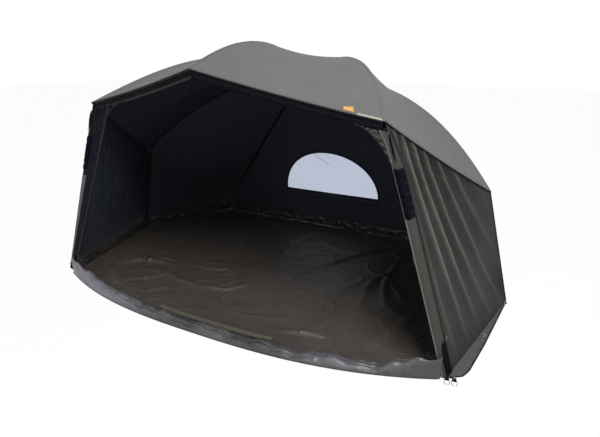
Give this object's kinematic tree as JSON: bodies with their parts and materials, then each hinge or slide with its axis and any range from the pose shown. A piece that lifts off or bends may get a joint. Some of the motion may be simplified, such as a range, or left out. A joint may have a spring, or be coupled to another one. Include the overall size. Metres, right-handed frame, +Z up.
{
  "type": "fishing umbrella shelter",
  "caption": "Oval fishing umbrella shelter: hub and folding ribs under an olive cloth canopy with side walls, rear window, telescopic front poles and a groundsheet.",
  "frame": {"origin": "on the ground, under the middle of the shelter, at the underside of the groundsheet; X = 0 is the plane of symmetry of the frame", "axes": "+X to the right seen from the doorway, +Y from the doorway to the back, +Z up"},
  "size_m": [2.7962, 1.7877, 1.4059],
  "materials": {
    "canopy_cloth": "matt coated polyester, olive",
    "ground_cloth": "coated polyethylene cloth, brown",
    "window_pane": "soft clear film, creased",
    "black_webbing": "woven webbing, black",
    "orange_tab": "woven tab, orange",
    "black_plastic": "moulded nylon, black",
    "dark_metal": "dark anodised tube",
    "bright_metal": "bright metal"
  },
  "bodies": {
    "shelter": {"hub_body": "black_plastic", "hub_cap": "black_plastic", "hub_ring_wire": "bright_metal", "roof_front_left": "canopy_cloth", "roof_front_right": "canopy_cloth", "roof_left": "canopy_cloth", "roof_right": "canopy_cloth", "rear_left": "canopy_cloth", "rear_right": "canopy_cloth", "rear_middle": "canopy_cloth", "window_pane": "window_pane", "window_cover_roll": "canopy_cloth", "window_toggle_left": "black_plastic", "window_toggle_right": "black_plastic", "wall_left": "canopy_cloth", "wall_right": "canopy_cloth", "front_band": "canopy_cloth", "front_strip_left": "canopy_cloth", "front_strip_right": "canopy_cloth", "rod_strap_left": "black_webbing", "rod_strap_right": "black_webbing", "orange_tab": "orange_tab", "corner_webbing_left": "black_webbing", "corner_webbing_right": "black_webbing", "side_flap_left": "canopy_cloth", "side_flap_right": "canopy_cloth", "peg_tabs_left": "black_webbing", "peg_tabs_right": "black_webbing", "groundsheet_floor": "ground_cloth", "groundsheet_sides": "ground_cloth", "groundsheet_lip": "ground_cloth"},
    "rib_front": {"rib_front": "dark_metal", "knuckle_front": "black_plastic"},
    "rib_right_corner": {"rib_right_corner": "dark_metal", "knuckle_right_corner": "black_plastic", "pole_socket_right": "black_plastic"},
    "rib_left_corner": {"rib_left_corner": "dark_metal", "knuckle_left_corner": "black_plastic", "pole_socket_left": "black_plastic"},
    "rib_right_side": {"rib_right_side": "dark_metal", "knuckle_right_side": "black_plastic"},
    "rib_left_side": {"rib_left_side": "dark_metal", "knuckle_left_side": "black_plastic"},
    "rib_right_rear": {"rib_right_rear": "dark_metal", "knuckle_right_rear": "black_plastic"},
    "rib_left_rear": {"rib_left_rear": "dark_metal", "knuckle_left_rear": "black_plastic"},
    "pole_right": {"pole_upper_right": "dark_metal", "pole_collar_right": "black_plastic"},
    "pole_foot_right": {"pole_lower_right": "bright_metal"},
    "ring_right_inner": {"d_ring_right_inner": "bright_metal"},
    "ring_right_outer": {"d_ring_right_outer": "bright_metal"},
    "zip_right": {"zip_slider_right": "dark_metal"},
    "pole_left": {"pole_upper_left": "dark_metal", "pole_collar_left": "black_plastic"},
    "pole_foot_left": {"pole_lower_left": "bright_metal"},
    "ring_left_inner": {"d_ring_left_inner": "bright_metal"},
    "ring_left_outer": {"d_ring_left_outer": "bright_metal"},
    "zip_left": {"zip_slider_left": "dark_metal"}
  },
  "joints": [
    {"name": "fold_right_corner", "type": "hinge", "parent": "shelter", "child": "rib_right_corner", "pos_m": [0.0373, 0.44284, 1.22341], "axis": [0.5593, 0.5654, -0.6063], "range_deg": [0, 47.75], "deforming": ["roof_front_left", "roof_front_right", "roof_left", "roof_right", "rear_left", "rear_right", "rear_middle", "window_pane", "window_cover_roll", "window_toggle_left", "window_toggle_right", "wall_left", "wall_right", "front_band", "front_strip_left", "front_strip_right", "rod_strap_left", "rod_strap_right", "orange_tab", "corner_webbing_left", "corner_webbing_right", "side_flap_left", "side_flap_right", "peg_tabs_left", "peg_tabs_right", "groundsheet_floor", "groundsheet_sides", "groundsheet_lip"]},
    {"name": "fold_front", "type": "hinge", "parent": "shelter", "child": "rib_front", "pos_m": [0, 0.42931, 1.23791], "axis": [1, 0, 0], "range_deg": [0, 41.9]},
    {"name": "fold_left_corner", "type": "hinge", "parent": "shelter", "child": "rib_left_corner", "pos_m": [-0.0373, 0.44284, 1.22341], "axis": [0.5593, -0.5654, 0.6063], "range_deg": [0, 47.76]},
    {"name": "fold_right_side", "type": "hinge", "parent": "shelter", "child": "rib_right_side", "pos_m": [0.04403, 0.46635, 1.19819], "axis": [-0.2069, 0.6672, -0.7155], "range_deg": [0, 62.75]},
    {"name": "fold_left_side", "type": "hinge", "parent": "shelter", "child": "rib_left_side", "pos_m": [-0.04403, 0.46635, 1.19819], "axis": [-0.2069, -0.6672, 0.7155], "range_deg": [0, 62.75]},
    {"name": "fold_right_rear", "type": "hinge", "parent": "shelter", "child": "rib_right_rear", "pos_m": [0.02919, 0.48336, 1.17995], "axis": [-0.761, 0.4424, -0.4744], "range_deg": [0, 71.29]},
    {"name": "fold_left_rear", "type": "hinge", "parent": "shelter", "child": "rib_left_rear", "pos_m": [-0.02919, 0.48336, 1.17995], "axis": [-0.761, -0.4424, 0.4744], "range_deg": [0, 71.29]},
    {"name": "fold_pole_right", "type": "hinge", "parent": "rib_right_corner", "child": "pole_right", "pos_m": [0.83186, -0.47496, 1.07483], "axis": [0.761, 0.6118, 0.2158], "range_deg": [0, 104.07]},
    {"name": "pole_slide_right", "type": "slide", "parent": "pole_right", "child": "pole_foot_right", "axis": [-0.3204, 0.0651, 0.9451], "range_m": [0, 0.44]},
    {"name": "fold_pole_left", "type": "hinge", "parent": "rib_left_corner", "child": "pole_left", "pos_m": [-0.83186, -0.47496, 1.07483], "axis": [0.761, -0.6118, -0.2158], "range_deg": [0, 104.07]},
    {"name": "pole_slide_left", "type": "slide", "parent": "pole_left", "child": "pole_foot_left", "axis": [0.3204, 0.0651, 0.9451], "range_m": [0, 0.44]},
    {"name": "ring_right_inner_turn", "type": "hinge", "parent": "pole_right", "child": "ring_right_inner", "pos_m": [1.21813, -0.58073, 0.0044], "axis": [-0.9848, -0.1736, 0], "range_deg": [0, 110]},
    {"name": "ring_right_outer_turn", "type": "hinge", "parent": "pole_right", "child": "ring_right_outer", "pos_m": [1.24865, -0.57534, 0.0044], "axis": [-0.9848, -0.1736, 0], "range_deg": [0, 110]},
    {"name": "ring_left_inner_turn", "type": "hinge", "parent": "pole_left", "child": "ring_left_inner", "pos_m": [-1.24594, -0.5025, 0.007], "axis": [0.9778, 0.2095, 0], "range_deg": [0, 110]},
    {"name": "ring_left_outer_turn", "type": "hinge", "parent": "pole_left", "child": "ring_left_outer", "pos_m": [-1.27626, -0.509, 0.007], "axis": [0.9778, 0.2095, 0], "range_deg": [0, 110]},
    {"name": "zip_slide_right", "type": "slide", "parent": "pole_right", "child": "zip_right", "axis": [-0.3189, 0.0611, 0.9458], "range_m": [0, 0.65]},
    {"name": "zip_slide_left", "type": "slide", "parent": "pole_left", "child": "zip_left", "axis": [0.3189, 0.0611, 0.9458], "range_m": [0, 0.65]}
  ],
  "couplings": [
    {"joint": "fold_front", "follows": "fold_right_corner", "ratio": 0.87739},
    {"joint": "fold_left_corner", "follows": "fold_right_corner", "ratio": 1},
    {"joint": "fold_right_side", "follows": "fold_right_corner", "ratio": 1.314},
    {"joint": "fold_left_side", "follows": "fold_right_corner", "ratio": 1.314},
    {"joint": "fold_right_rear", "follows": "fold_right_corner", "ratio": 1.4929},
    {"joint": "fold_left_rear", "follows": "fold_right_corner", "ratio": 1.4929},
    {"joint": "fold_pole_right", "follows": "fold_right_corner", "ratio": 2.1794},
    {"joint": "fold_pole_left", "follows": "fold_right_corner", "ratio": 2.1794}
  ]
}
